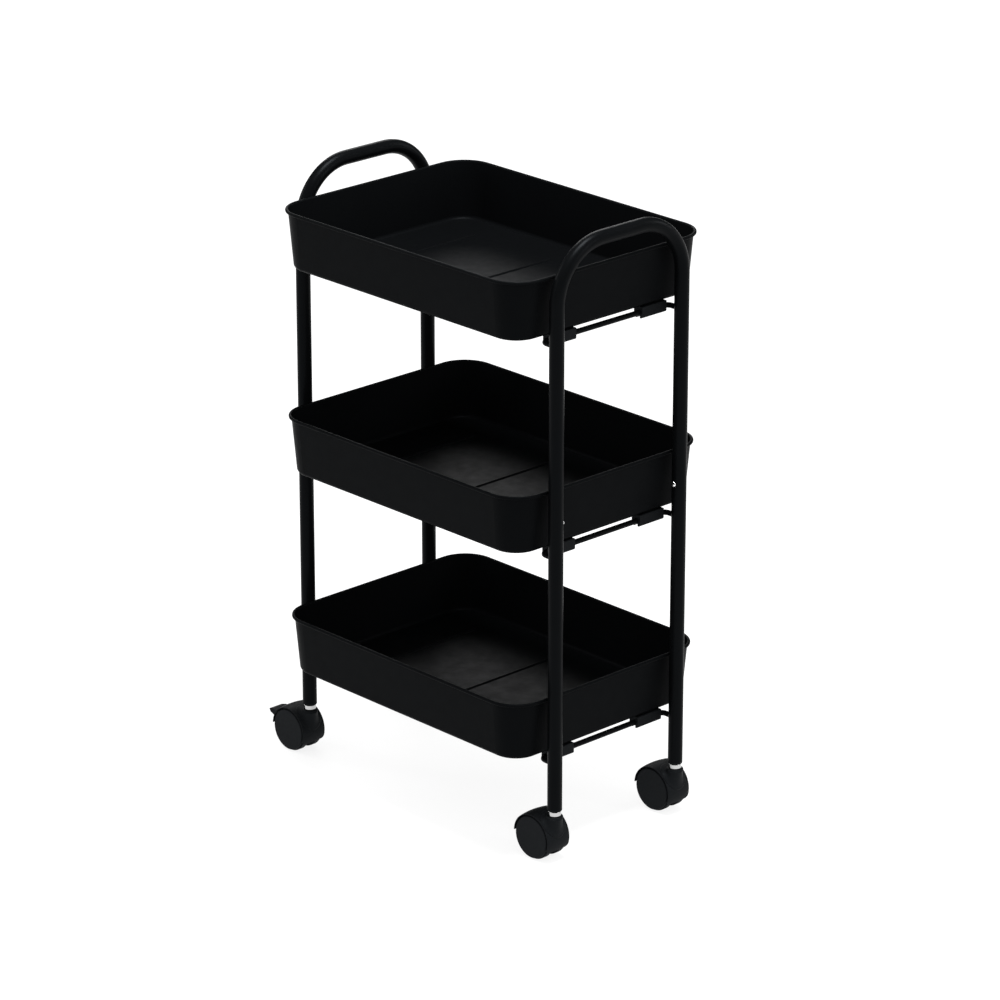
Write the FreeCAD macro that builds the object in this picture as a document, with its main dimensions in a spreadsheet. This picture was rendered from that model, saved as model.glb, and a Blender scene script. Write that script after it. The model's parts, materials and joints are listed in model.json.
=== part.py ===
import FreeCAD, Part
import math
import os
import re
import Sketcher

# Three-tier rolling shelf cart.
# Two tubular end frames carry three pressed sheet trays on bent wire crossbars.
# Millimetres. +X is the long direction, +Y across, +Z up.
# The origin is on the floor, midway between the four posts.

Vector = FreeCAD.Vector
Rotation = FreeCAD.Rotation

doc = FreeCAD.newDocument("ShelfCart")

# ---------------------------------------------------------------- driving dimensions

SIZES = {
    # posts and end frames
    "tube_diameter": 16.0,
    "tube_wall": 1.2,
    "post_half_x": 197.8,
    "post_half_y": 91.0,
    "frame_bend": 63.0,
    "handle_level": 683.0,
    "seam_level": 369.0,
    "post_foot": 61.3,
    # crossbars
    "rod_diameter": 6.0,
    "rod_half_x": 176.4,
    "rod_bend": 7.0,
    "rod_below_rim": 71.9,
    # trays
    "rim_level": 650.7,
    "tray_pitch": 233.3,
    "rim_half_x": 189.7,
    "rim_half_y": 142.25,
    "rim_corner": 37.0,
    "bead_width": 3.8,
    "sheet": 0.9,
    "tray_depth": 64.7,
    "tray_draft": 5.0,
    "tray_floor_radius": 5.0,
    "rib_half_x": 120.0,
    "rib_half_length": 91.0,
    "rib_radius": 2.3,
    # clips under each tray
    "clip_width": 12.5,
    "clip_start": 48.0,
    "clip_length": 36.0,
    "clip_depth": 12.6,
    "clip_inset": 170.0,
    "clip_mouth": 4.8,
    # snap joints between the upper frames and the lower posts
    "button_level": 384.2,
    "button_diameter": 6.0,
    "button_proud": 2.5,
    "button_gap": 0.3,
    "sleeve_diameter": 13.54,
    "sleeve_wall": 1.2,
    "sleeve_below": 45.0,
    "sleeve_above": 30.0,
    "spring_strip": 0.6,
    "spring_width": 4.0,
    "spring_radius": 4.0,
    # caster sockets, stems and collars
    "flange_diameter": 16.0,
    "flange_height": 2.5,
    "plug_diameter": 13.56,
    "plug_height": 34.0,
    "stem_diameter": 7.0,
    "stem_foot": 24.0,
    "stem_head": 90.0,
    "grip_diameter": 9.0,
    "grip_height": 12.0,
    "grip_level": 66.0,
    "fit_gap": 0.05,
    "collar_diameter": 14.0,
    "collar_height": 5.5,
    # twin-wheel casters
    "trail": 20.0,
    "wheel_radius": 25.0,
    "wheel_inner": 6.4,
    "wheel_shoulder": 13.0,
    "wheel_outer": 16.2,
    "disc_radius": 23.5,
    "axle_diameter": 6.0,
    "axle_half": 13.6,
    "hood_radius": 26.2,
    "hood_crown": 1.3,
    "hood_inside": 25.35,
    "hood_half": 16.0,
    "hood_heel": 176.0,
    "hood_toe": 24.0,
    "hood_corner": 4.0,
    "hood_web": 6.0,
    "hood_top": 52.9,
    "hub_radius": 8.0,
    "boss_radius": 9.5,
    # brake levers
    "lever_half": 10.0,
    "shank_half": 2.6,
    "lever_pin": 3.0,
    "lever_pivot_x": -18.5,
    "lever_pivot_z": 9.5,
    "pedal_front": -26.6,
    "pedal_tip": -39.4,
    "pedal_low": 5.0,
    "pedal_high": 14.2,
}

sheet = doc.addObject("Spreadsheet::Sheet", "Sizes")
for row, (alias, value) in enumerate(SIZES.items(), start=1):
    sheet.set(f"A{row}", alias.replace("_", " "))
    sheet.set(f"B{row}", str(value))
    sheet.setAlias(f"B{row}", alias)
doc.recompute()

SUBPARTS = []


def cell(formula):
    """A formula with its sheet names written in full."""
    return re.sub("[a-z_]+", lambda word: f"Sizes.{word[0]}" if word[0] in SIZES else word[0],
                  formula)


def number(formula):
    """The present value of a formula."""
    return float(sheet.evalExpression(cell(formula)))


def bind(owner, **formulas):
    """Binds properties to the sheet. A double underscore stands for a dot."""
    for path, formula in formulas.items():
        owner.setExpression(path.replace("__", "."), cell(formula))


def place(owner, x="0", y="0", z="0", turn=0.0):
    """Puts an object at a position bound to the sheet, turned about its Z axis."""
    owner.Placement = FreeCAD.Placement(Vector(), Rotation(Vector(0, 0, 1), turn))
    bind(owner, Placement__Base__x=x, Placement__Base__y=y, Placement__Base__z=z)


def keep(item, label):
    """Marks an object as a finished sub-part."""
    item.Label = label
    SUBPARTS.append(item)
    return item


# ---------------------------------------------------------------- sketch helpers

def new_body(label):
    return keep(doc.addObject("PartDesign::Body", label), label)


def new_sketch(body, plane, offset="0", shift_x="0", shift_y="0"):
    """A sketch on one of the body's origin planes, moved along the plane's normal."""
    sketch = body.newObject("Sketcher::SketchObject", f"{body.Name}_sketch")
    for datum in body.Origin.OriginFeatures:
        if datum.Role == f"{plane}_Plane":
            sketch.AttachmentSupport = [(datum, "")]
    sketch.MapMode = "FlatFace"
    bind(sketch, AttachmentOffset__Base__x=shift_x,
         AttachmentOffset__Base__y=shift_y, AttachmentOffset__Base__z=offset)
    return sketch


def constrain(sketch, kind, *references):
    return sketch.addConstraint(Sketcher.Constraint(kind, *references))


def dimension(sketch, kind, references, formula):
    """A named driving dimension, bound to the sheet."""
    index = constrain(sketch, kind, *references, number(formula))
    name = f"size_{index}"
    sketch.renameConstraint(index, name)
    sketch.setExpression(f"Constraints.{name}", cell(formula))


def fix_point(sketch, geometry, point, x, y):
    """Holds a point at a place measured from the sketch's origin."""
    for kind, formula, axis in (("DistanceX", x, -2), ("DistanceY", y, -1)):
        value = number(formula)
        if abs(value) < 1e-9:
            constrain(sketch, "PointOnObject", geometry, point, axis)
        elif value > 0:
            dimension(sketch, kind, (-1, 1, geometry, point), formula)
        else:
            dimension(sketch, kind, (geometry, point, -1, 1), f"0 - ({formula})")


def draw_circle(sketch, x, y, radius):
    circle = Part.Circle(Vector(number(x), number(y), 0), Vector(0, 0, 1), number(radius))
    index = sketch.addGeometry(circle, False)
    fix_point(sketch, index, 3, x, y)
    dimension(sketch, "Radius", (index,), radius)
    return index


def draw_polygon(sketch, corners):
    """A closed outline of straight lines through corners given as formula pairs."""
    points = [Vector(number(x), number(y), 0) for x, y in corners]
    first = sketch.GeometryCount
    for start, end in zip(points, points[1:] + points[:1]):
        sketch.addGeometry(Part.LineSegment(start, end), False)
    count = len(points)
    for step in range(count):
        constrain(sketch, "Coincident", first + step, 2, first + (step + 1) % count, 1)
    for step, (x, y) in enumerate(corners):
        fix_point(sketch, first + step, 1, x, y)


def draw_barrel(sketch, radius, crown, half):
    """Half the outline of a barrel turned round the sketch's Y axis, fuller at its middle."""
    r, bulge, h = number(radius), number(crown), number(half)
    corners = [(radius, half), ("0", half), ("0", f"0 - {half}"), (radius, f"0 - {half}")]
    points = [Vector(number(x), number(y), 0) for x, y in corners]
    for start, end in zip(points, points[1:]):
        sketch.addGeometry(Part.LineSegment(start, end), False)
    arc = sketch.addGeometry(Part.Arc(points[3], Vector(r + bulge, 0, 0), points[0]), False)
    for step in range(2):
        constrain(sketch, "Coincident", step, 2, step + 1, 1)
    constrain(sketch, "Coincident", 2, 2, arc, 1)
    constrain(sketch, "Coincident", arc, 2, 0, 1)
    for step, (x, y) in enumerate(corners[:3]):
        fix_point(sketch, step, 1, x, y)
    fix_point(sketch, 2, 2, *corners[3])
    dimension(sketch, "Radius", (arc,), f"({half} ^ 2 + {crown} ^ 2) / (2 * {crown})")


def draw_rounded_rectangle(sketch, half_x, half_y, radius):
    """A rounded rectangle centred on the sketch's origin."""
    a, b, r = number(half_x), number(half_y), number(radius)
    centres = [(a - r, b - r), (r - a, b - r), (r - a, r - b), (a - r, r - b)]
    arcs = []
    for quarter, (x, y) in enumerate(centres):
        circle = Part.Circle(Vector(x, y, 0), Vector(0, 0, 1), r)
        begin = quarter * math.pi / 2
        arcs.append(sketch.addGeometry(
            Part.ArcOfCircle(circle, begin, begin + math.pi / 2), False))
    lines = []
    for quarter in range(4):
        start = sketch.getPoint(arcs[quarter], 2)
        end = sketch.getPoint(arcs[(quarter + 1) % 4], 1)
        lines.append(sketch.addGeometry(Part.LineSegment(start, end), False))
    for quarter in range(4):
        constrain(sketch, "Tangent", arcs[quarter], 2, lines[quarter], 1)
        constrain(sketch, "Tangent", lines[quarter], 2, arcs[(quarter + 1) % 4], 1)
    for arc in arcs[1:]:
        constrain(sketch, "Equal", arcs[0], arc)
    constrain(sketch, "Horizontal", lines[2])
    constrain(sketch, "Vertical", lines[3])
    constrain(sketch, "Symmetric", lines[0], 1, lines[0], 2, -2)
    constrain(sketch, "Symmetric", lines[1], 1, lines[1], 2, -1)
    dimension(sketch, "DistanceY", (lines[2], 1, lines[0], 1), f"({half_y}) * 2")
    dimension(sketch, "DistanceX", (lines[1], 1, lines[3], 1), f"({half_x}) * 2")
    dimension(sketch, "Radius", (arcs[0],), radius)


# ---------------------------------------------------------------- feature helpers

def add_feature(body, kind, sketch=None, **settings):
    feature = body.newObject(f"PartDesign::{kind}", f"{body.Name}_{kind}")
    if sketch is not None:
        feature.Profile = (sketch, [""])
        sketch.Visibility = False
    for name, value in settings.items():
        setattr(feature, name, value)
    return feature


def pad(body, sketch, length, **settings):
    feature = add_feature(body, "Pad", sketch, **settings)
    bind(feature, Length=length)
    return feature


def pocket(body, sketch, length, **settings):
    """Cuts, and stops the run if nothing was removed."""
    doc.recompute()
    before = body.Shape.Volume
    feature = add_feature(body, "Pocket", sketch, **settings)
    bind(feature, Length=length)
    doc.recompute()
    if body.Shape.Volume > before - 1e-3:
        raise RuntimeError(f"a pocket in {body.Label} cuts nothing")
    return feature


def fillet(body, test, radius):
    """Rounds the edges of the body that pass a test."""
    doc.recompute()
    names = [f"Edge{index}" for index, edge in enumerate(body.Shape.Edges, start=1) if test(edge)]
    if not names:
        raise RuntimeError(f"no edge to round in {body.Label}")
    feature = add_feature(body, "Fillet", Base=(body.Tip, names))
    bind(feature, Radius=radius)
    doc.recompute()
    return feature


def loft(body, kind, lower, upper):
    feature = add_feature(body, kind, lower)
    feature.Sections = [(upper, [""])]
    feature.Ruled = True
    upper.Visibility = False
    return feature


def cylinder(name, radius, height, x="0", y="0", z="0"):
    item = doc.addObject("Part::Cylinder", name)
    bind(item, Radius=radius, Height=height)
    place(item, x, y, z)
    return item


def box(name, length, width, height, x="0", y="0", z="0"):
    item = doc.addObject("Part::Box", name)
    bind(item, Length=length, Width=width, Height=height)
    place(item, x, y, z)
    return item


def cut(name, base, tool):
    item = doc.addObject("Part::Cut", name)
    item.Base = base
    item.Tool = tool
    return item


def ease_rims(name, base, radius, test):
    """Rounds the edges of a simple solid that pass a test."""
    item = doc.addObject("Part::Fillet", name)
    item.Base = base
    doc.recompute()
    item.Edges = [(index, radius, radius) for index, edge in enumerate(base.Shape.Edges, start=1)
                  if test(edge)]
    return item


def fuse(name, *items):
    item = doc.addObject("Part::MultiFuse", name)
    item.Shapes = list(items)
    return item


def group(label, items):
    item = doc.addObject("Part::Compound", label)
    item.Links = items
    return keep(item, label)


# The four corners: name, sign along X, sign along Y.
CORNERS = [
    ("left_front", -1, -1),
    ("left_rear", -1, 1),
    ("right_front", 1, -1),
    ("right_rear", 1, 1),
]
SIDES = [("left", -1), ("right", 1)]
TIERS = [("top", 0), ("middle", 1), ("bottom", 2)]
BRAKED = ("left_front", "left_rear")


def rim_of(tier):
    return f"(rim_level - {tier} * tray_pitch)"


# ---------------------------------------------------------------- end frames

def handle_frame(label, side):
    """Inverted U of round tube: two legs, two bends and a straight push handle."""
    body = new_body(label)
    path = new_sketch(body, "YZ")
    leg, bend = number("post_half_y"), number("frame_bend")
    foot, crown = number("seam_level"), number("handle_level")
    shoulder = crown - bend
    turn = leg - bend
    down_left = path.addGeometry(
        Part.LineSegment(Vector(-leg, foot, 0), Vector(-leg, shoulder, 0)), False)
    arc_left = path.addGeometry(Part.ArcOfCircle(Part.Circle(
        Vector(-turn, shoulder, 0), Vector(0, 0, 1), bend), math.pi / 2, math.pi), False)
    grip = path.addGeometry(
        Part.LineSegment(Vector(-turn, crown, 0), Vector(turn, crown, 0)), False)
    arc_right = path.addGeometry(Part.ArcOfCircle(Part.Circle(
        Vector(turn, shoulder, 0), Vector(0, 0, 1), bend), 0, math.pi / 2), False)
    down_right = path.addGeometry(
        Part.LineSegment(Vector(leg, shoulder, 0), Vector(leg, foot, 0)), False)
    constrain(path, "Tangent", down_left, 2, arc_left, 2)
    constrain(path, "Tangent", arc_left, 1, grip, 1)
    constrain(path, "Tangent", grip, 2, arc_right, 2)
    constrain(path, "Tangent", arc_right, 1, down_right, 1)
    constrain(path, "Vertical", down_left)
    constrain(path, "Horizontal", grip)
    constrain(path, "Vertical", down_right)
    constrain(path, "Equal", arc_left, arc_right)
    fix_point(path, down_left, 1, "0 - post_half_y", "seam_level")
    fix_point(path, down_right, 2, "post_half_y", "seam_level")
    dimension(path, "Radius", (arc_left,), "frame_bend")
    dimension(path, "DistanceY", (-1, 1, grip, 1), "handle_level")

    ring = new_sketch(body, "XY", "seam_level")
    draw_circle(ring, "0", "0 - post_half_y", "tube_diameter / 2")
    draw_circle(ring, "0", "0 - post_half_y", "tube_diameter / 2 - tube_wall")
    pipe = add_feature(body, "AdditivePipe", ring)
    pipe.Spine = (path, [])
    doc.recompute()

    holes = new_sketch(body, "XZ")
    draw_circle(holes, "0", "button_level", "button_diameter / 2 + button_gap")
    pocket(body, holes, "post_half_y * 2", Midplane=True)
    place(body, f"{side} * post_half_x")


def lower_post(label, side_x, side_y):
    """Straight tube from the caster socket up to the seam under the middle tray."""
    body = new_body(label)
    ring = new_sketch(body, "XY", "post_foot")
    draw_circle(ring, "0", "0", "tube_diameter / 2")
    draw_circle(ring, "0", "0", "tube_diameter / 2 - tube_wall")
    pad(body, ring, "seam_level - post_foot")
    place(body, f"{side_x} * post_half_x", f"{side_y} * post_half_y")


def crossbar(label, side, tier):
    """Wire bar along Y under a tray, its ends bent outward and welded to two posts."""
    body = new_body(label)
    path = new_sketch(body, "XY")
    near, far = number("rod_half_x"), number("post_half_x - tube_diameter / 2 + 0.7")
    leg, bend = number("post_half_y"), number("rod_bend")
    knee_x, knee_y = near + bend, leg - bend
    stub_a = path.addGeometry(
        Part.LineSegment(Vector(far, -leg, 0), Vector(knee_x, -leg, 0)), False)
    bend_a = path.addGeometry(Part.ArcOfCircle(Part.Circle(
        Vector(knee_x, -knee_y, 0), Vector(0, 0, 1), bend), math.pi, 1.5 * math.pi), False)
    run = path.addGeometry(
        Part.LineSegment(Vector(near, -knee_y, 0), Vector(near, knee_y, 0)), False)
    bend_b = path.addGeometry(Part.ArcOfCircle(Part.Circle(
        Vector(knee_x, knee_y, 0), Vector(0, 0, 1), bend), math.pi / 2, math.pi), False)
    stub_b = path.addGeometry(
        Part.LineSegment(Vector(knee_x, leg, 0), Vector(far, leg, 0)), False)
    constrain(path, "Tangent", stub_a, 2, bend_a, 2)
    constrain(path, "Tangent", bend_a, 1, run, 1)
    constrain(path, "Tangent", run, 2, bend_b, 2)
    constrain(path, "Tangent", bend_b, 1, stub_b, 1)
    constrain(path, "Horizontal", stub_a)
    constrain(path, "Vertical", run)
    constrain(path, "Horizontal", stub_b)
    constrain(path, "Equal", bend_a, bend_b)
    reach = "post_half_x - tube_diameter / 2 + 0.7"
    fix_point(path, stub_a, 1, reach, "0 - post_half_y")
    fix_point(path, stub_b, 2, reach, "post_half_y")
    dimension(path, "Radius", (bend_a,), "rod_bend")
    dimension(path, "DistanceX", (-1, 1, run, 1), "rod_half_x")

    section = new_sketch(body, "YZ", reach)
    draw_circle(section, "0 - post_half_y", "0", "rod_diameter / 2")
    pipe = add_feature(body, "AdditivePipe", section)
    pipe.Spine = (path, [])
    doc.recompute()

    saddle = new_sketch(body, "XY")
    for sign in (-1, 1):
        draw_circle(saddle, "post_half_x", f"{sign} * post_half_y", "tube_diameter / 2 + 0.02")
    pocket(body, saddle, "rod_diameter * 3", Midplane=True)
    turn = 0.0 if side > 0 else 180.0
    place(body, z=f"{rim_of(tier)} - rod_below_rim", turn=turn)


# ---------------------------------------------------------------- trays

def loop_at(level):
    """Tests for edges that lie flat at one height."""
    def test(edge):
        limits = edge.BoundBox
        return abs(limits.ZMin - level) < 1e-3 and abs(limits.ZMax - level) < 1e-3
    return test


def half_capsule(body, kind, radius, across):
    """A long half-round with ball ends, standing on the underside of the tray floor."""
    sketch = new_sketch(body, "XY", "0 - tray_depth", shift_x="0 - rib_half_x")
    r, reach = number(radius), number("rib_half_length")
    low = sketch.addGeometry(Part.ArcOfCircle(Part.Circle(
        Vector(0, r - reach, 0), Vector(0, 0, 1), r), 1.5 * math.pi, 2 * math.pi), False)
    side = sketch.addGeometry(
        Part.LineSegment(Vector(r, r - reach, 0), Vector(r, reach - r, 0)), False)
    high = sketch.addGeometry(Part.ArcOfCircle(Part.Circle(
        Vector(0, reach - r, 0), Vector(0, 0, 1), r), 0, math.pi / 2), False)
    spine = sketch.addGeometry(
        Part.LineSegment(Vector(0, reach, 0), Vector(0, -reach, 0)), False)
    constrain(sketch, "Tangent", low, 2, side, 1)
    constrain(sketch, "Tangent", side, 2, high, 1)
    constrain(sketch, "Coincident", high, 2, spine, 1)
    constrain(sketch, "Coincident", spine, 2, low, 1)
    constrain(sketch, "PointOnObject", low, 3, -2)
    constrain(sketch, "PointOnObject", high, 3, -2)
    constrain(sketch, "PointOnObject", low, 1, -2)
    constrain(sketch, "PointOnObject", high, 2, -2)
    dimension(sketch, "Radius", (low,), radius)
    constrain(sketch, "Symmetric", side, 1, side, 2, -1)
    dimension(sketch, "DistanceY", (spine, 2, spine, 1), "rib_half_length * 2")
    feature = add_feature(body, kind, sketch)
    feature.ReferenceAxis = (sketch, ["V_Axis"])
    feature.Angle = 180
    feature.Reversed = across
    return feature


def tray(label, tier):
    """Pressed sheet tray with drafted walls, a rolled rim and three floor ribs."""
    body = new_body(label)
    lean = "tan(tray_draft * 1 deg)"
    wall_x, wall_y = "rim_half_x - bead_width + sheet", "rim_half_y - bead_width + sheet"
    corner = "rim_corner - bead_width + sheet"

    top = new_sketch(body, "XY")
    draw_rounded_rectangle(top, wall_x, wall_y, corner)
    walls = pad(body, top, "tray_depth", Reversed=True)
    bind(walls, TaperAngle="0 - tray_draft")
    rim = new_sketch(body, "XY")
    draw_rounded_rectangle(rim, "rim_half_x", "rim_half_y", "rim_corner")
    pad(body, rim, "bead_width", Midplane=True)

    # The hollow keeps one sheet thickness from the walls, measured level, and the floor.
    rise = f"bead_width * {lean}"
    mouth = new_sketch(body, "XY", "bead_width")
    draw_rounded_rectangle(mouth, f"{wall_x} - sheet + {rise}", f"{wall_y} - sheet + {rise}",
                           f"{corner} - sheet + {rise}")
    hollow = pocket(body, mouth, "tray_depth + bead_width - sheet")
    bind(hollow, TaperAngle="0 - tray_draft")
    fillet(body, loop_at(number("sheet - tray_depth")), "tray_floor_radius - sheet")
    fillet(body, loop_at(number("0 - tray_depth")), "tray_floor_radius")

    half = number("bead_width / 2")
    fillet(body, loop_at(half), "bead_width * 0.47")
    outer = number("rim_half_x - bead_width * 0.7")

    def lower_rim(edge):
        limits = edge.BoundBox
        middle = edge.valueAt((edge.FirstParameter + edge.LastParameter) / 2)
        far = abs(middle.x) > outer or abs(middle.y) > outer - number("rim_half_x - rim_half_y")
        corner_edge = edge.Curve.TypeId == "Part::GeomCircle" and edge.Curve.Radius > 36.5
        flat = abs(limits.ZMin + half) < 1e-3 and abs(limits.ZMax + half) < 1e-3
        return flat and (far or corner_edge)

    fillet(body, lower_rim, "bead_width * 0.47")

    ridge = half_capsule(body, "Revolution", "rib_radius", True)
    doc.recompute()
    groove = half_capsule(body, "Groove", "rib_radius - sheet", True)
    doc.recompute()
    ribs = add_feature(body, "LinearPattern")
    ribs.Originals = [ridge, groove]
    ribs.Direction = (ridge.Profile[0], ["H_Axis"])
    ribs.Occurrences = 3
    bind(ribs, Length="rib_half_x * 2")
    body.Tip = ribs
    place(body, z=rim_of(tier))


def tray_clip(name, side_x, side_y, tier):
    """Nylon saddle fixed under a tray, with a round channel that snaps over the crossbar."""
    level = f"{rim_of(tier)} - tray_depth - clip_depth"
    x = "clip_inset" if side_x > 0 else "0 - clip_inset - clip_width"
    y = "clip_start" if side_y > 0 else "0 - clip_start - clip_length"
    block = box(f"{name}_block", "clip_width", "clip_length", "clip_depth", x, y, level)
    foot = loop_at(number(level))
    rounded = ease_rims(f"{name}_rounded", block, 2.4,
                        lambda edge: foot(edge) and edge.BoundBox.YLength > 1)
    channel = cylinder(f"{name}_channel", "rod_diameter / 2 + 0.03", "clip_length + 2",
                       f"{side_x} * rod_half_x", f"{y} - 1", f"{rim_of(tier)} - rod_below_rim")
    channel.Placement.Rotation = Rotation(Vector(1, 0, 0), -90)
    mouth = box(f"{name}_mouth", "clip_mouth", "clip_length + 2", "clip_depth",
                f"{side_x} * rod_half_x - clip_mouth / 2", f"{y} - 1",
                f"{rim_of(tier)} - rod_below_rim - clip_depth")
    return cut(name, cut(f"{name}_bored", rounded, channel), mouth)


def tray_clips(tray_name, tier):
    clips = []
    for corner, side_x, side_y in CORNERS:
        clips.append(tray_clip(f"clip_{tray_name}_{corner}", side_x, side_y, tier))
    group(f"tray_clips_{tray_name}", clips)


# ---------------------------------------------------------------- snap joints

def post_connector(corner, side_x, side_y):
    """Sleeve fixed in the lower post, which enters the upper tube and holds the button."""
    name = f"connector_{corner}"
    base = "seam_level - sleeve_below"
    x, y = f"{side_x} * post_half_x", f"{side_y} * post_half_y"
    outer = cylinder(f"{name}_outer", "sleeve_diameter / 2", "sleeve_below + sleeve_above",
                     x, y, base)
    inner = cylinder(f"{name}_inner", "sleeve_diameter / 2 - sleeve_wall",
                     "sleeve_below + sleeve_above + 2", x, y, f"{base} - 1")
    hole = cylinder(f"{name}_hole", "button_diameter / 2 + button_gap", "sleeve_diameter",
                    x, y, "button_level")
    hole.Placement.Rotation = Rotation(Vector(1, 0, 0), 90 * side_y)
    return cut(name, cut(f"{name}_tube", outer, inner), hole)


def spring_blade(corner, side_x, side_y):
    """The fixed leg and lower bend of the strip spring behind a snap button."""
    name = f"spring_{corner}"
    x = f"{side_x} * post_half_x - spring_width / 2"
    centre_y = f"{side_y} * post_half_y"
    bend_level = "button_level - 29"
    bend = cylinder(f"{name}_bend", "spring_radius + spring_strip", "spring_width",
                    x, centre_y, bend_level)
    hollow = cylinder(f"{name}_hollow", "spring_radius", "spring_width + 2",
                      f"{x} - 1", centre_y, bend_level)
    for item in (bend, hollow):
        item.Placement.Rotation = Rotation(Vector(0, 1, 0), 90)
    above = box(f"{name}_above", "spring_width + 2", "spring_radius * 4", "spring_radius * 2",
                f"{x} - 1", f"{centre_y} - spring_radius * 2", bend_level)
    half_ring = cut(f"{name}_half_ring", cut(f"{name}_ring", bend, hollow), above)
    if side_y > 0:
        leg_y = f"{centre_y} + spring_radius"
    else:
        leg_y = f"{centre_y} - spring_radius - spring_strip"
    leg = box(f"{name}_leg", "spring_width", "spring_strip", "36", x, leg_y, bend_level)
    return fuse(name, half_ring, leg)


def snap_button(corner, side_x, side_y):
    """Domed steel button riveted to the moving leg of its spring."""
    body = new_body(f"snap_button_{corner}")
    leg = new_sketch(body, "XZ")
    draw_polygon(leg, [("0 - spring_width / 2", "0 - 27"), ("spring_width / 2", "0 - 27"),
                       ("spring_width / 2", "7"), ("0 - spring_width / 2", "7")])
    pad(body, leg, "spring_strip")
    head = new_sketch(body, "XZ")
    draw_circle(head, "0", "0", "button_diameter / 2")
    pad(body, head, "tube_diameter / 2 + button_proud - spring_radius")
    doc.recompute()
    tip = number("tube_diameter / 2 + button_proud - spring_radius")

    def tip_circle(edge):
        return abs(edge.BoundBox.YMin + tip) < 1e-3 and edge.BoundBox.YLength < 1e-3

    fillet(body, tip_circle, "button_diameter / 2 - 0.9")
    # The sketch plane XZ looks along -Y, so the button points to -Y before it is turned.
    turn = 0.0 if side_y > 0 else 180.0
    place(body, f"{side_x} * post_half_x", f"{side_y} * (post_half_y - spring_radius)",
          "button_level", turn=turn)


# ---------------------------------------------------------------- caster sockets and stems

def caster_socket(corner, side_x, side_y):
    """Nylon plug in the foot of a post, with a flange under the tube's end."""
    name = f"socket_{corner}"
    x, y = f"{side_x} * post_half_x", f"{side_y} * post_half_y"
    base = "post_foot - flange_height"
    disc = cylinder(f"{name}_disc", "flange_diameter / 2", "flange_height", x, y, base)
    flange = ease_rims(f"{name}_flange", disc, 1.2, loop_at(number(base)))
    plug = cylinder(f"{name}_plug", "plug_diameter / 2", "plug_height", x, y, "post_foot")
    narrow = cylinder(f"{name}_narrow", "stem_diameter / 2 + fit_gap", "plug_height",
                      x, y, f"{base} - 1")
    wide = cylinder(f"{name}_wide", "grip_diameter / 2 + 0.01", "plug_height", x, y, "grip_level")
    solid = cut(f"{name}_drilled", fuse(f"{name}_solid", flange, plug), narrow)
    return cut(name, solid, wide)


def caster_stem(corner, side_x, side_y):
    """Steel pin that the caster turns on, with a turned neck for its grip ring."""
    name = f"stem_{corner}"
    x, y = f"{side_x} * post_half_x", f"{side_y} * post_half_y"
    pin = cylinder(f"{name}_pin", "stem_diameter / 2", "grip_level + 2 - stem_foot",
                   x, y, "stem_foot")
    neck = cylinder(f"{name}_neck", "stem_diameter / 2 - 0.6", "grip_height + 4",
                    x, y, "grip_level")
    head = cylinder(f"{name}_head", "stem_diameter / 2", "stem_head - grip_level - grip_height - 2",
                    x, y, "grip_level + grip_height + 2")
    return fuse(name, pin, neck, head)


def grip_ring(corner, side_x, side_y):
    """Split ring round the stem's neck, which holds the stem in its socket."""
    name = f"grip_{corner}"
    x, y = f"{side_x} * post_half_x", f"{side_y} * post_half_y"
    level = "grip_level + 2"
    outer = cylinder(f"{name}_outer", "grip_diameter / 2", "grip_height", x, y, level)
    inner = cylinder(f"{name}_inner", "stem_diameter / 2 - 0.58", "grip_height + 2",
                     x, y, f"{level} - 1")
    split = box(f"{name}_split", "grip_diameter", "1.5", "grip_height + 2",
                x, f"{y} - 0.75", f"{level} - 1")
    return cut(name, cut(f"{name}_sleeve", outer, inner), split)


def swivel_collar(corner, side_x, side_y):
    """Bright collar on the stem between the post's foot and the caster's hood."""
    name = f"collar_{corner}"
    x, y = f"{side_x} * post_half_x", f"{side_y} * post_half_y"
    base = "post_foot - flange_height - collar_height"
    disc = cylinder(f"{name}_disc", "collar_diameter / 2", "collar_height", x, y, base)
    eased = ease_rims(f"{name}_eased", disc, 0.8, lambda edge: edge.BoundBox.ZLength < 1e-3)
    bore = cylinder(f"{name}_bore", "stem_diameter / 2 + 0.02", "collar_height + 2",
                    x, y, f"{base} - 1")
    return cut(name, eased, bore)


# ---------------------------------------------------------------- casters

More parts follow.
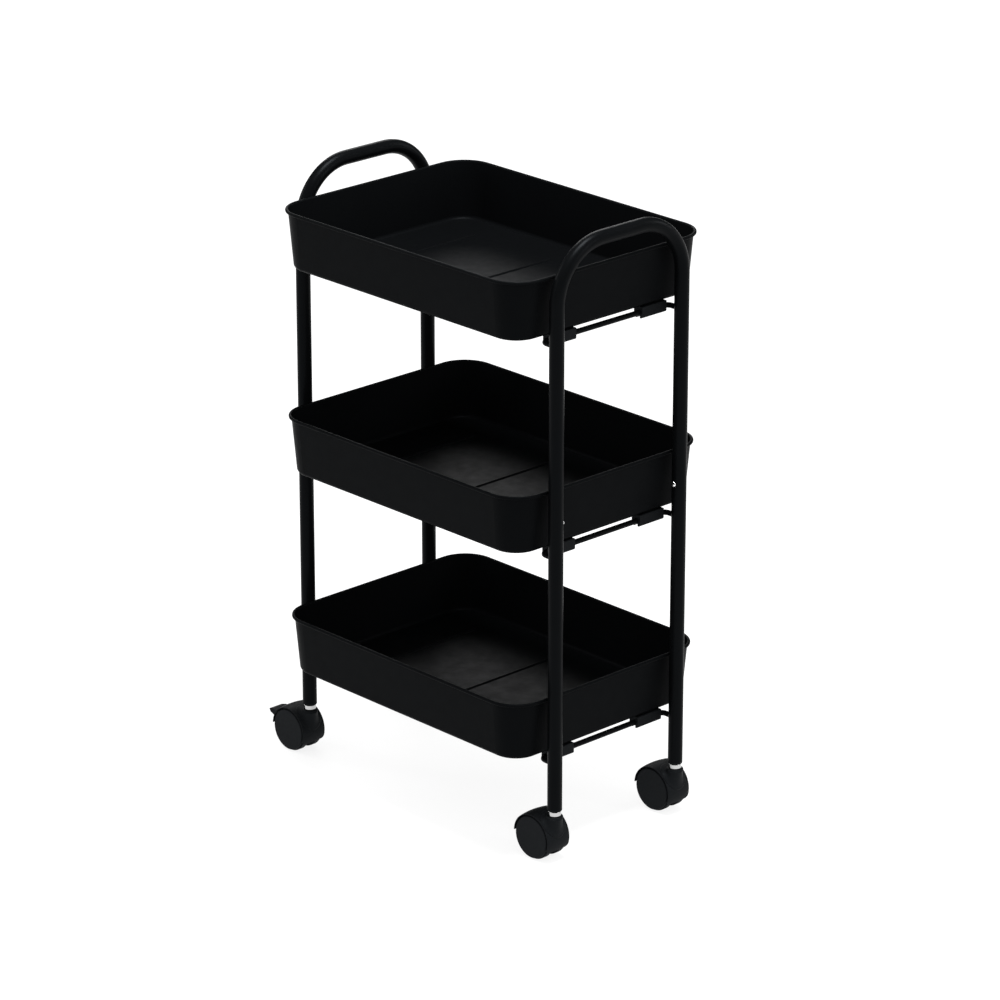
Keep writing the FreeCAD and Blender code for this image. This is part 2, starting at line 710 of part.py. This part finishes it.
def caster_hood(label, corner, side_x, side_y):
    """Hood over two wheels: an arched shroud, a middle web, an axle hub and a stem boss."""
    body = new_body(label)
    arch = new_sketch(body, "XY", "wheel_radius", shift_x="0 - trail")
    draw_barrel(arch, "hood_radius", "hood_crown", "hood_half")
    turned = add_feature(body, "Revolution", arch)
    turned.ReferenceAxis = (arch, ["V_Axis"])
    turned.Angle = 360

    boss_low = new_sketch(body, "XY", "hood_top - 23")
    draw_circle(boss_low, "0 - 2", "0", "boss_radius - 3.5")
    boss_top = new_sketch(body, "XY", "hood_top")
    draw_circle(boss_top, "0", "0", "boss_radius")
    loft(body, "AdditiveLoft", boss_low, boss_top)
    fillet(body, loop_at(number("hood_top")), "1.6")

    # Room for the wheels, one each side of the web.
    for side in (-1, 1):
        room = new_sketch(body, "XZ", f"{-side} * hood_web")
        draw_circle(room, "0 - trail", "wheel_radius", "hood_inside")
        pocket(body, room, "hood_half * 2", Reversed=side < 0)

    # The hood is open below a slanting line from its heel to its toe.
    heel_x = "0 - trail + (hood_radius + hood_crown) * cos(hood_heel * 1 deg)"
    heel_z = "wheel_radius + (hood_radius + hood_crown) * sin(hood_heel * 1 deg)"
    toe_x = "0 - trail + (hood_radius + hood_crown) * cos(hood_toe * 1 deg)"
    toe_z = "wheel_radius - (hood_radius + hood_crown) * sin(hood_toe * 1 deg)"
    below = new_sketch(body, "XZ")
    draw_polygon(below, [(f"{heel_x} - 20", f"{heel_z} + 1"), (heel_x, heel_z), (toe_x, toe_z),
                         (f"{toe_x} + 20", f"{toe_z} - 1"), ("trail * 2", "0 - trail"),
                         ("0 - trail * 4", "0 - trail")])
    pocket(body, below, "hood_half * 3", Midplane=True)

    def toe_corner(edge):
        limits = edge.BoundBox
        return limits.YLength < 1e-3 and limits.XMin > 0 and limits.ZMax < number(toe_z) + 3

    fillet(body, toe_corner, "hood_corner")
    hub = new_sketch(body, "XZ")
    draw_circle(hub, "0 - trail", "wheel_radius", "hub_radius")
    pad(body, hub, "hood_web * 2", Midplane=True)

    axle_bore = new_sketch(body, "XZ")
    draw_circle(axle_bore, "0 - trail", "wheel_radius", "axle_diameter / 2 + 0.01")
    pocket(body, axle_bore, "hood_half * 3", Midplane=True)
    stem_bore = new_sketch(body, "XY", "hood_top + 1")
    draw_circle(stem_bore, "0", "0", "stem_diameter / 2 + fit_gap")
    pocket(body, stem_bore, "hood_top + 1 - stem_foot + 1")

    if corner in BRAKED:
        # A notch in the shroud for the pedal, and a slot in the web for its shank.
        notch = new_sketch(body, "XZ")
        draw_polygon(notch, [("0 - trail - 20.5", "wheel_radius + 15.5"),
                             ("0 - trail - 40", "wheel_radius + 24"),
                             ("0 - trail - 40", "wheel_radius - 6"),
                             ("0 - trail - 22", "wheel_radius + 2")])
        pocket(body, notch, "lever_half * 2 + 1", Midplane=True)
        slot = new_sketch(body, "XZ")
        draw_polygon(slot, [("0 - trail - 12.5", "wheel_radius + 3.5"),
                            ("0 - trail - 12.5", "wheel_radius + 17"),
                            ("0 - trail - 32", "wheel_radius + 17"),
                            ("0 - trail - 32", "wheel_radius + 3.5")])
        pocket(body, slot, "shank_half * 2 + 0.8", Midplane=True)
        pin_bore = new_sketch(body, "XZ")
        draw_circle(pin_bore, "lever_pivot_x - trail", "lever_pivot_z + wheel_radius",
                    "lever_pin / 2 + 0.01")
        pocket(body, pin_bore, "hood_half * 3", Midplane=True)
    place(body, f"{side_x} * post_half_x", f"{side_y} * post_half_y")


def loop_across(level, radius):
    """Tests for circles of one radius that stand at one distance along Y."""
    def test(edge):
        if edge.Curve.TypeId != "Part::GeomCircle" or abs(edge.Curve.Radius - radius) > 1e-3:
            return False
        return abs(edge.BoundBox.YMax - level) < 1e-3
    return test


def caster_axle(label, side_x, side_y):
    body = new_body(label)
    section = new_sketch(body, "XZ")
    draw_circle(section, "0", "0", "axle_diameter / 2")
    pad(body, section, "axle_half * 2", Midplane=True)
    place(body, f"{side_x} * post_half_x - trail", f"{side_y} * post_half_y", "wheel_radius")


def caster_wheel(label, side_x, side_y, outward):
    """Moulded wheel: closed outer disc, rim, and a hub bored from the inner side."""
    body = new_body(label)
    section = new_sketch(body, "YZ")
    bore = "axle_diameter / 2 + fit_gap"
    draw_polygon(section, [
        ("wheel_inner", bore),
        ("wheel_inner", "hub_radius - 1"),
        ("wheel_outer - 2.6", "hub_radius - 1"),
        ("wheel_outer - 2.6", "wheel_radius - 4"),
        ("wheel_inner", "wheel_radius - 4"),
        ("wheel_inner", "wheel_radius"),
        ("wheel_shoulder", "wheel_radius"),
        ("wheel_shoulder", "disc_radius"),
        ("wheel_outer", "disc_radius"),
        ("wheel_outer", "0"),
        ("axle_half + 0.5", "0"),
        ("axle_half + 0.5", bore),
    ])
    turned = add_feature(body, "Revolution", section)
    turned.ReferenceAxis = (section, ["H_Axis"])
    turned.Angle = 360
    doc.recompute()
    fillet(body, loop_across(number("wheel_shoulder"), number("wheel_radius")), "0.9")
    fillet(body, loop_across(number("wheel_outer"), number("disc_radius")), "1.1")
    turn = 0.0 if outward > 0 else 180.0
    place(body, f"{side_x} * post_half_x - trail", f"{side_y} * post_half_y",
          "wheel_radius", turn=turn)


def brake_lever(label, side_x, side_y):
    """Foot pedal behind the wheels, on a narrow shank that pivots inside the web."""
    body = new_body(label)
    pedal = new_sketch(body, "XZ")
    draw_polygon(pedal, [("pedal_front - 1.6", "pedal_low"),
                         ("pedal_tip + 2", "pedal_low + 3.6"),
                         ("pedal_tip", "pedal_high - 2"),
                         ("pedal_tip + 6.4", "pedal_high"),
                         ("pedal_front", "pedal_high - 1")])
    pad(body, pedal, "lever_half * 2", Midplane=True)
    doc.recompute()

    def side_edge(edge):
        limits = edge.BoundBox
        return limits.YLength < 1e-3 and limits.XMax < number("pedal_front") - 1.5 and limits.XLength > 1

    fillet(body, side_edge, "1.2")
    shank = new_sketch(body, "XZ")
    draw_polygon(shank, [("pedal_front - 2", "pedal_low + 0.4"),
                         ("pedal_front - 2", "pedal_high - 1.6"),
                         ("lever_pivot_x", "pedal_high - 1"),
                         ("lever_pivot_x + 1", "6")])
    pad(body, shank, "shank_half * 2", Midplane=True)
    eye = new_sketch(body, "XZ")
    draw_circle(eye, "lever_pivot_x", "lever_pivot_z", "3.9")
    pad(body, eye, "shank_half * 2", Midplane=True)
    bore = new_sketch(body, "XZ")
    draw_circle(bore, "lever_pivot_x", "lever_pivot_z", "lever_pin / 2 + fit_gap")
    pocket(body, bore, "lever_half * 3", Midplane=True)
    place(body, f"{side_x} * post_half_x - trail", f"{side_y} * post_half_y", "wheel_radius")


def brake_pin(label, side_x, side_y):
    body = new_body(label)
    section = new_sketch(body, "XZ")
    draw_circle(section, "lever_pivot_x", "lever_pivot_z", "lever_pin / 2")
    pad(body, section, "hood_web * 2 - 0.4", Midplane=True)
    place(body, f"{side_x} * post_half_x - trail", f"{side_y} * post_half_y", "wheel_radius")


# ---------------------------------------------------------------- assembly

for side_name, side in SIDES:
    handle_frame(f"handle_frame_{side_name}", side)
    for tier_name, tier in TIERS:
        crossbar(f"crossbar_{tier_name}_{side_name}", side, tier)

for tier_name, tier in TIERS:
    tray(f"tray_{tier_name}", tier)
    tray_clips(tier_name, tier)

for corner, side_x, side_y in CORNERS:
    lower_post(f"lower_post_{corner}", side_x, side_y)
    snap_button(corner, side_x, side_y)
    caster_hood(f"caster_hood_{corner}", corner, side_x, side_y)
    caster_axle(f"caster_axle_{corner}", side_x, side_y)
    caster_wheel(f"wheel_outer_{corner}", side_x, side_y, side_y)
    caster_wheel(f"wheel_inner_{corner}", side_x, side_y, -side_y)
    if corner in BRAKED:
        brake_lever(f"brake_lever_{corner}", side_x, side_y)
        brake_pin(f"brake_pin_{corner}", side_x, side_y)

group("post_connectors", [post_connector(*corner) for corner in CORNERS])
group("snap_springs", [spring_blade(*corner) for corner in CORNERS])
group("caster_sockets", [caster_socket(*corner) for corner in CORNERS])
group("caster_stems", [caster_stem(*corner) for corner in CORNERS])
group("grip_rings", [grip_ring(*corner) for corner in CORNERS])
group("swivel_collars", [swivel_collar(*corner) for corner in CORNERS])
doc.recompute()

# ---------------------------------------------------------------- checks and export

for item in doc.Objects:
    if {"Invalid", "Error"} & set(item.State):
        raise RuntimeError(f"{item.Label} did not compute")
for item in SUBPARTS:
    if item.Shape.isNull() or not item.Shape.isValid():
        raise RuntimeError(f"{item.Label} is not a valid shape")
    if not item.Shape.Solids:
        raise RuntimeError(f"{item.Label} holds no solid")

os.makedirs("parts", exist_ok=True)
for item in SUBPARTS:
    item.Shape.exportStep(f"parts/{item.Label}.step")
    print(item.Label, len(item.Shape.Solids), round(item.Shape.Volume))
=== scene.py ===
"""Looks for a black three-tier rolling cart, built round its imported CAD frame.

Everything is in metres. +X runs along the cart, +Y across it and +Z up.
The origin is on the floor, midway between the four posts.
"""
import json
import math
import random

import bmesh
import bpy
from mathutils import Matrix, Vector


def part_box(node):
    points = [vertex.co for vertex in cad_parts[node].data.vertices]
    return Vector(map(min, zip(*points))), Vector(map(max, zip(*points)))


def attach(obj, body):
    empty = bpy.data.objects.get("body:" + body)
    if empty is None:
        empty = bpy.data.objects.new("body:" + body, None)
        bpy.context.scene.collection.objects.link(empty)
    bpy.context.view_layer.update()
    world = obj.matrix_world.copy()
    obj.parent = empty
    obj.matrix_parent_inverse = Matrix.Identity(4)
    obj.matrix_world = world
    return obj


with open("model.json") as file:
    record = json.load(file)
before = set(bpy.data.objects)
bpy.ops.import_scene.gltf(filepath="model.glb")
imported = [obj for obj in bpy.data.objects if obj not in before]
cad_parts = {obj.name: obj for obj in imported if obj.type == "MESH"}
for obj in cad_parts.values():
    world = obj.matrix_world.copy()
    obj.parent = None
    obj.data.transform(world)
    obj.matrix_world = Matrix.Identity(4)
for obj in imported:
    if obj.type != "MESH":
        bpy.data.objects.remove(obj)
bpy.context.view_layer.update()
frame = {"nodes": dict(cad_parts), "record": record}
NODES = frame["nodes"]
MM = 0.001

TIERS = ("top", "middle", "bottom")
SIDES = {"left": -1, "right": 1}
CORNERS = [f"{side}_{row}" for side in SIDES for row in ("front", "rear")]

# ---------------------------------------------------------------- node helpers


class Nodes:
    """A short way to build one material's node tree."""

    def __init__(self, name):
        self.material = bpy.data.materials.new(name)
        self.material.use_nodes = True
        self.tree = self.material.node_tree
        self.shader = self.tree.nodes["Principled BSDF"]
        self.position = self.add("ShaderNodeTexCoord").outputs["Object"]

    def add(self, kind, **inputs):
        """Adds a node. A value that is a socket is linked, and any other is set."""
        node = self.tree.nodes.new(kind)
        for key, value in inputs.items():
            self.feed(node, key.replace("_", " "), value)
        return node

    def feed(self, node, key, value):
        """Links a socket to a node's input, or sets the input to a plain value."""
        if isinstance(value, bpy.types.NodeSocket):
            self.tree.links.new(value, node.inputs[key])
        else:
            node.inputs[key].default_value = value

    def set(self, **inputs):
        """Feeds the material's own shader."""
        for key, value in inputs.items():
            self.feed(self.shader, key.replace("_", " "), value)

    def noise(self, size, detail=3.0, roughness=0.55, stretch=(1.0, 1.0, 1.0)):
        """Noise whose features are about the given size in metres."""
        mapping = self.add("ShaderNodeMapping", Vector=self.position, Scale=stretch)
        node = self.add("ShaderNodeTexNoise", Vector=mapping.outputs["Vector"],
                        Scale=1.0 / size, Detail=detail, Roughness=roughness)
        return node.outputs["Fac"]

    def spread(self, value, low, high, start=0.0, end=1.0):
        """Maps a value between start and end to the range from low to high."""
        node = self.add("ShaderNodeMapRange", Value=value)
        for key, number in (("From Min", start), ("From Max", end),
                            ("To Min", low), ("To Max", high)):
            node.inputs[key].default_value = number
        return node.outputs["Result"]

    def blend(self, factor, first, second):
        """Mixes two colours, the second where the factor is 1."""
        node = self.add("ShaderNodeMix")
        node.data_type = "RGBA"
        self.feed(node, "Factor", factor)
        for key, colour in (("A", first), ("B", second)):
            socket = [s for s in node.inputs if s.name == key and s.type == "RGBA"][0]
            if isinstance(colour, bpy.types.NodeSocket):
                self.tree.links.new(colour, socket)
            else:
                socket.default_value = colour
        return [s for s in node.outputs if s.type == "RGBA"][0]

    def bump(self, height, depth, normal=None):
        """Bump whose height runs over the given depth in metres."""
        node = self.add("ShaderNodeBump", Height=height, Distance=depth)
        if normal is not None:
            self.feed(node, "Normal", normal)
        return node.outputs["Normal"]


def grey(value, tint=(1.0, 1.0, 1.0)):
    """A neutral colour, or one shifted a little by a tint."""
    return (value * tint[0], value * tint[1], value * tint[2], 1.0)


# ---------------------------------------------------------------- materials

# The blacks of the cart are slightly cool, in their body colour and in their sheen.
COOL = (0.90, 1.0, 1.12)
COOL_SHEEN = (0.84, 0.93, 1.0, 1.0)
PAINT_DARK = 0.0021
PAINT_LIGHT = 0.0028
PAINT_PEBBLE = 0.9 * MM
PAINT_HAZE = 14 * MM
NYLON_GLOSS = 0.045
NYLON_GRAIN = 0.45 * MM
NYLON_FLOW = 9 * MM
NYLON_SCUFF = 2.2 * MM


def powder_coat(name, gloss, roughness, cloud_size):
    """Satin black powder coat: fine pebbled skin, faint cloudiness and handling haze."""
    paint = Nodes(name)
    pebbles = paint.noise(PAINT_PEBBLE, detail=2.0)
    cloud = paint.noise(cloud_size, detail=4.0)
    haze = paint.noise(PAINT_HAZE, detail=5.0, roughness=0.65)
    paint.set(Base_Color=paint.blend(cloud, grey(PAINT_DARK, COOL), grey(PAINT_LIGHT, COOL)),
              Roughness=paint.spread(haze, roughness - 0.05, roughness + 0.07, 0.3, 0.7),
              Normal=paint.bump(pebbles, 0.035 * MM))
    paint.shader.inputs["Specular IOR Level"].default_value = gloss
    paint.shader.inputs["Specular Tint"].default_value = COOL_SHEEN
    return paint.material


def moulded_nylon(name, value, roughness):
    """Moulded black nylon: spark-eroded grain, slow flow marks and scuffed patches."""
    nylon = Nodes(name)
    grain = nylon.noise(NYLON_GRAIN, detail=2.0, roughness=0.6)
    flow = nylon.noise(NYLON_FLOW, detail=3.0, stretch=(1.0, 1.0, 2.5))
    scuffs = nylon.noise(NYLON_SCUFF, detail=6.0, roughness=0.7)
    nylon.set(Base_Color=nylon.blend(flow, grey(value * 0.85, COOL), grey(value * 1.2, COOL)),
              Roughness=nylon.spread(scuffs, roughness - 0.06, roughness + 0.1, 0.35, 0.65),
              Normal=nylon.bump(grain, 0.03 * MM))
    nylon.shader.inputs["Specular IOR Level"].default_value = NYLON_GLOSS
    nylon.shader.inputs["Specular Tint"].default_value = COOL_SHEEN
    return nylon.material


def polished_chrome(name):
    """Bright plating with faint polishing rings and small dull specks."""
    chrome = Nodes(name)
    rings = chrome.noise(0.35 * MM, detail=2.0, stretch=(0.05, 0.05, 1.0))
    specks = chrome.noise(1.6 * MM, detail=4.0)
    chrome.set(Base_Color=chrome.blend(specks, grey(0.46), grey(0.54)),
               Roughness=chrome.spread(specks, 0.10, 0.20, 0.35, 0.7),
               Normal=chrome.bump(rings, 0.004 * MM))
    chrome.shader.inputs["Metallic"].default_value = 1.0
    return chrome.material


def turned_steel(name, value, roughness):
    """Plain steel with fine machining lines round its axis."""
    steel = Nodes(name)
    lines = steel.noise(0.25 * MM, detail=3.0, stretch=(0.08, 0.08, 1.0))
    stains = steel.noise(3 * MM, detail=5.0)
    steel.set(Base_Color=steel.blend(stains, grey(value * 0.85), grey(value * 1.1)),
              Roughness=steel.spread(lines, roughness - 0.07, roughness + 0.1, 0.3, 0.7),
              Normal=steel.bump(lines, 0.01 * MM))
    steel.shader.inputs["Metallic"].default_value = 1.0
    return steel.material


# Painted slots: gloss, roughness, size of clouds. Nylon slots: body colour, roughness.
# Steel slots: body colour, roughness.
MATERIALS = {
    "frame_paint": powder_coat("frame_powder_coat", 0.030, 0.32, 60 * MM),
    "tray_paint": powder_coat("tray_powder_coat", 0.018, 0.42, 110 * MM),
    "clip_nylon": moulded_nylon("clip_nylon", 0.0048, 0.5),
    "socket_nylon": moulded_nylon("socket_nylon", 0.0036, 0.5),
    "hood_nylon": moulded_nylon("hood_nylon", 0.0062, 0.50),
    "wheel_nylon": moulded_nylon("wheel_nylon", 0.0068, 0.54),
    "lever_nylon": moulded_nylon("lever_nylon", 0.0058, 0.5),
    "collar_chrome": polished_chrome("collar_chrome"),
    "stem_steel": turned_steel("turned_steel", 0.55, 0.3),
    "spring_steel": turned_steel("spring_steel", 0.45, 0.34),
    "button_steel": turned_steel("button_nickel", 0.82, 0.2),
}


def finish_nodes():
    """Gives every CAD node the material that its slot names."""
    for part in frame["record"]["subparts"]:
        for slot in NODES[part["node"]].material_slots:
            slot.material = MATERIALS[part["material_slot"]]


# ---------------------------------------------------------------- added pieces

def new_piece(name, shape, body, slot):
    """Adds a finished shape to the scene as a piece that moves with a CAD body."""
    bmesh.ops.recalc_face_normals(shape, faces=shape.faces)
    mesh = bpy.data.meshes.new(name)
    shape.to_mesh(mesh)
    shape.free()
    mesh.materials.append(MATERIALS[slot])
    piece = bpy.data.objects.new(name, mesh)
    bpy.context.collection.objects.link(piece)
    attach(piece, body)
    return piece


def closed_ring(columns):
    """A ring of closed columns. The first point of each is buried, and so is out of sight."""
    ring = bmesh.new()
    grid = [[ring.verts.new(point) for point in column] for column in columns]
    for step, here in enumerate(grid):
        there = grid[(step + 1) % len(grid)]
        for row in range(len(here)):
            after = (row + 1) % len(here)
            face = ring.faces.new((here[row], there[row], there[after], here[after]))
            face.smooth = row > 0 and after > 0
    return ring


class Hood:
    """The outer form of one caster hood: a barrel round the axle and a tapered stem boss.

    The boss leans back as it goes down, towards the axle.
    """

    RADIUS = 27.5 * MM
    EDGE_RADIUS = 26.2 * MM
    HALF = 16.0 * MM
    AXLE_LEVEL = 25.0 * MM
    TRAIL = 20.0 * MM
    BOSS_RADIUS = 9.5 * MM
    BOSS_TAPER = 3.5 * MM
    BOSS_LEAN = 2.0 * MM
    BOSS_DEPTH = 23.0 * MM
    SEARCH_STEP = 0.1 * MM
    # The barrel is fullest in its middle. Across its width, its outline is an arc of this radius.
    BEND = ((RADIUS - EDGE_RADIUS) ** 2 + HALF ** 2) / (2 * (RADIUS - EDGE_RADIUS))

    def __init__(self, corner):
        low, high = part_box(f"caster_hood_{corner}")
        axle_low, axle_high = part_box(f"caster_axle_{corner}")
        self.y = (low.y + high.y) / 2
        self.axle_x = (axle_low.x + axle_high.x) / 2
        self.stem_x = self.axle_x + self.TRAIL
        self.top = high.z

    def barrel_radius(self, across):
        """The barrel's radius at a distance across from its middle."""
        return self.RADIUS - self.BEND + math.sqrt(self.BEND ** 2 - across ** 2)

    def barrel(self, angle, across):
        """A point of the barrel and the outward direction there."""
        outward = Vector((math.cos(angle), 0.0, math.sin(angle)))
        centre = Vector((self.axle_x, self.y + across, self.AXLE_LEVEL))
        lean = Vector((0.0, across / self.BEND, 0.0))
        return centre + outward * self.barrel_radius(across), (outward + lean).normalized()

    def boss(self, turn, level):
        """A point of the boss's side at one turn round the stem."""
        fall = (self.top - level) / self.BOSS_DEPTH
        radius = self.BOSS_RADIUS - self.BOSS_TAPER * fall
        return Vector((self.stem_x - self.BOSS_LEAN * fall + radius * math.cos(turn),
                       self.y + radius * math.sin(turn), level))

    def crease(self, turn):
        """Where the boss's side meets the barrel: an angle round the axle, a distance across."""
        level = self.top
        while level > self.AXLE_LEVEL:
            point = self.boss(turn, level)
            across = point.y - self.y
            height, reach = point.z - self.AXLE_LEVEL, point.x - self.axle_x
            if math.hypot(height, reach) < self.barrel_radius(across):
                return math.atan2(height, reach), across
            level -= self.SEARCH_STEP
        raise RuntimeError("the boss doesn't meet the barrel")


FAIRING_SPREAD = 7.5 * MM
FAIRING_SKIN = 0.02 * MM
FAIRING_STEPS = 96
FAIRING_ROWS = 14
FAIRING_ROOT = 2 * MM
BARREL_MARGIN = 0.6 * MM
BOSS_ROUNDING = 1.8 * MM


def hood_fairing(corner):
    """A smooth sweep from the boss's side down onto the barrel, which hides their crease."""
    hood = Hood(corner)
    edge = hood.HALF - BARREL_MARGIN
    stem_angle = math.acos(hood.TRAIL / hood.RADIUS)
    columns = []
    for step in range(FAIRING_STEPS):
        turn = 2 * math.pi * step / FAIRING_STEPS
        angle, across = hood.crease(turn)
        away = Vector(((stem_angle - angle) * hood.RADIUS, across)).normalized()
        reach = FAIRING_SPREAD
        if abs(away.y) > 1e-6:
            reach = min(FAIRING_SPREAD, (edge - abs(across)) / abs(away.y))
        foot, outward = hood.barrel(angle - away.x * reach / hood.RADIUS,
                                    across + away.y * reach)
        # The knee is where the boss's side cuts the barrel's tangent plane at the foot.
        high = hood.boss(turn, hood.top)
        low = hood.boss(turn, hood.top - hood.BOSS_DEPTH)
        drop = (high - foot).dot(outward) / (high - low).dot(outward)
        knee = high.lerp(low, drop)
        head = hood.boss(turn, hood.top - BOSS_ROUNDING)
        side = Vector((math.cos(turn), math.sin(turn), 0.0))
        column = [knee - (side + outward) * FAIRING_ROOT]
        for row in range(FAIRING_ROWS + 1):
            share = row / FAIRING_ROWS
            point = head.lerp(knee, share).lerp(knee.lerp(foot, share), share)
            column.append(point + side.lerp(outward, share) * FAIRING_SKIN)
        columns.append(column)
    new_piece(f"hood_fairing_{corner}", closed_ring(columns), f"caster_{corner}", "hood_nylon")


WELD_LEG = 1.7 * MM
WELD_LUMP = 0.07
WELD_STEPS = 48
WELD_ROWS = 8
WELD_ROOT = 0.8 * MM
WELD_INTO_ROD = 0.15 * MM
WELD_INTO_POST = 0.1 * MM


def weld_bead(name, centre, outward, rod, post):
    """An uneven fillet of weld round the end of a crossbar, lying on the round post."""
    draw = random.Random(name)
    lumps = [draw.uniform(0.0, 2 * math.pi) for _ in range(3)]
    columns = []
    for step in range(WELD_STEPS):
        turn = 2 * math.pi * step / WELD_STEPS
        swell = sum(math.sin((3 + 4 * k) * turn + lump) for k, lump in enumerate(lumps))
        leg = WELD_LEG * (1.0 + WELD_LUMP * swell)
        around = Vector((0.0, math.cos(turn), math.sin(turn)))
        profile = [(rod - WELD_ROOT, -WELD_ROOT)]
        for row in range(WELD_ROWS):
            slope = math.pi / 2 * row / (WELD_ROWS - 1)
            profile.append((rod - WELD_INTO_ROD + leg * (1 - math.sin(slope)),
                            leg * (1 - math.cos(slope)) - WELD_INTO_POST))
        column = []
        for reach, rise in profile:
            dip = post - math.sqrt(post ** 2 - (around.y * reach) ** 2)
            column.append(centre + around * reach + outward * (dip - rise))
        columns.append(column)
    new_piece(name, closed_ring(columns), "frame", "frame_paint")


def weld_crossbars():
    """Two beads on each crossbar, one at each post."""
    for side, sign in SIDES.items():
        low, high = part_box(f"handle_frame_{side}")
        post = (high.x - low.x) / 2
        inner_face = (low.x + high.x) / 2 - sign * post
        for tier in TIERS:
            low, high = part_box(f"crossbar_{tier}_{side}")
            rod = (high.z - low.z) / 2
            for row, y in (("front", low.y + rod), ("rear", high.y - rod)):
                centre = Vector((inner_face, y, low.z + rod))
                weld_bead(f"weld_{tier}_{side}_{row}", centre, Vector((sign, 0.0, 0.0)), rod, post)


# ---------------------------------------------------------------- stage, light and camera

FLOOR_SIZE = 60.0
FLOOR_DRIFT = 2.0
FLOOR_DARK = 0.17
FLOOR_LIGHT = 0.19
FLOOR_GLOW = 0.85
SKY_STRENGTH = 1.05
# The soft boxes face this point. Each has a place, a width, a height and a power in watts.
AIM = Vector((0.0, 0.0, 0.4))
SOFT_BOXES = {
    "overhead": ((0.3, 0.0, 2.6), 0.9, 0.9, 90.0),
    "far_left": ((-2.6, 1.9, 1.9), 1.8, 1.2, 30.0),
    "right": ((3.0, 1.2, 1.5), 0.5, 1.6, 18.0),
    "left": ((-3.0, -1.2, 1.5), 0.5, 1.6, 20.0),
    "front": ((-1.2, -3.0, 1.6), 0.6, 1.4, 10.0),
    "rear": ((1.2, 3.0, 1.6), 0.6, 1.4, 16.0),
}


def stage_floor():
    """A pale floor, lit mostly by its own glow, so that the cart's shadow on it is faint."""
    bpy.ops.mesh.primitive_plane_add(size=FLOOR_SIZE, location=(0.0, 0.0, 0.0))
    floor = bpy.context.object
    floor.name = "floor"
    pale = Nodes("pale_floor")
    drift = pale.noise(FLOOR_DRIFT, detail=2.0)
    pale.set(Base_Color=pale.blend(drift, grey(FLOOR_DARK), grey(FLOOR_LIGHT)), Roughness=0.9)
    pale.shader.inputs["Specular IOR Level"].default_value = 0.1
    pale.shader.inputs["Emission Color"].default_value = (1.0, 1.0, 1.0, 1.0)
    pale.shader.inputs["Emission Strength"].default_value = FLOOR_GLOW
    floor.data.materials.append(pale.material)


def soft_box(name, place, width, height, power):
    """A rectangular studio light that faces the cart."""
    light = bpy.data.lights.new(name, "AREA")
    light.shape = "RECTANGLE"
    light.size = width
    light.size_y = height
    light.energy = power
    lamp = bpy.data.objects.new(name, light)
    bpy.context.collection.objects.link(lamp)
    lamp.location = place
    lamp.rotation_mode = "QUATERNION"
    lamp.rotation_quaternion = (AIM - Vector(place)).to_track_quat("-Z", "Y")


def light_stage():
    """An even white sky, kept out of reflections, and soft boxes that give the sheen."""
    world = bpy.data.worlds.new("studio")
    bpy.context.scene.world = world
    world.use_nodes = True
    sky = world.node_tree.nodes["Background"]
    sky.inputs["Color"].default_value = (1.0, 1.0, 1.0, 1.0)
    sky.inputs["Strength"].default_value = SKY_STRENGTH
    world.cycles_visibility.glossy = False
    for name, settings in SOFT_BOXES.items():
        soft_box(name, *settings)


# The camera stands off the cart's right front corner and looks down at its middle. The turn is
# about +Z and the tilt is below level, both in radians. The lens is given in picture widths.
TURN = 0.815
TILT = 0.3610
DISTANCE = 4.7052
ASIDE = 0.0113
EYE_HEIGHT = 2.1098
LENS_IN_WIDTHS = 4.638
SENSOR_WIDTH = 36.0
CLIP_END = 200.0


def make_camera():
    """A plain camera with no shift and no depth of field."""
    right = Vector((math.cos(TURN), math.sin(TURN), 0.0))
    ahead = Vector((-math.sin(TURN), math.cos(TURN), 0.0))
    up = Vector((0.0, 0.0, 1.0))
    data = bpy.data.cameras.new("camera")
    data.sensor_width = SENSOR_WIDTH
    data.lens = SENSOR_WIDTH * LENS_IN_WIDTHS
    data.clip_end = CLIP_END
    camera = bpy.data.objects.new("camera", data)
    bpy.context.collection.objects.link(camera)
    camera.location = right * ASIDE - ahead * DISTANCE + up * EYE_HEIGHT
    look = ahead * math.cos(TILT) - up * math.sin(TILT)
    camera.rotation_mode = "QUATERNION"
    camera.rotation_quaternion = look.to_track_quat("-Z", "Y")
    bpy.context.scene.camera = camera


# ---------------------------------------------------------------- the scene

finish_nodes()
for corner in CORNERS:
    hood_fairing(corner)
weld_crossbars()
stage_floor()
light_stage()
make_camera()
bpy.context.scene.view_settings.view_transform = "Standard"

bpy.context.view_layer.update()
